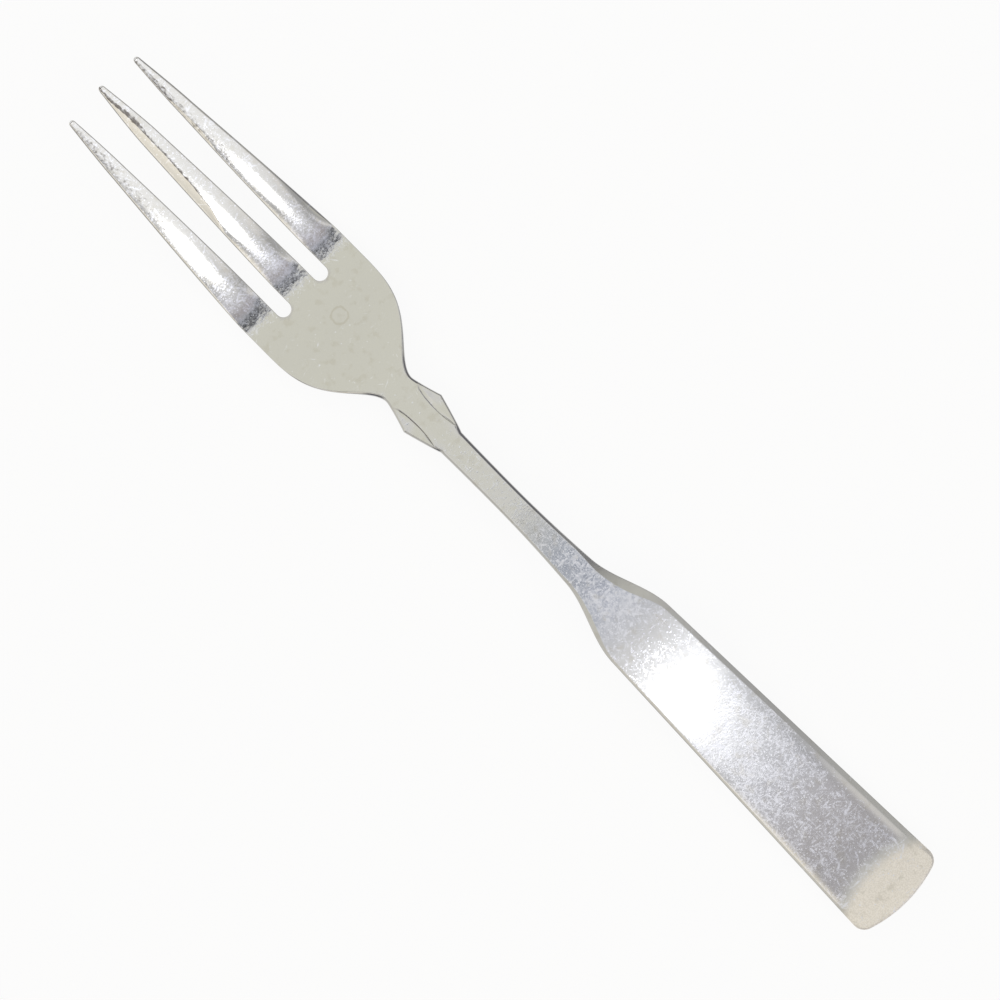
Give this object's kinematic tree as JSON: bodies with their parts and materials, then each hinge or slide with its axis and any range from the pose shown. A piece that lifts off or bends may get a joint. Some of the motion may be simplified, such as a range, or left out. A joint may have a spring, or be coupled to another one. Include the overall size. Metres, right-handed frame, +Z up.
{
  "type": "dinner fork",
  "caption": "Dinner fork of polished steel with a flared handle, a slim shank, pointed ears at the neck and long tapered tines.",
  "frame": {"origin": "on the table, under the middle of the fork's box, with the fork lying face up", "axes": "+X along the fork towards the tips of the tines, +Y across it to its left, +Z up from the table"},
  "size_m": [0.19, 0.0232, 0.0172],
  "materials": {
    "stainless_steel": "polished, worn, with fine random scratches"
  },
  "bodies": {
    "root": {"handle": "stainless_steel", "shank": "stainless_steel", "neck": "stainless_steel", "tine_root": "stainless_steel", "tine_left": "stainless_steel", "tine_middle": "stainless_steel", "tine_right": "stainless_steel"}
  },
  "joints": []
}
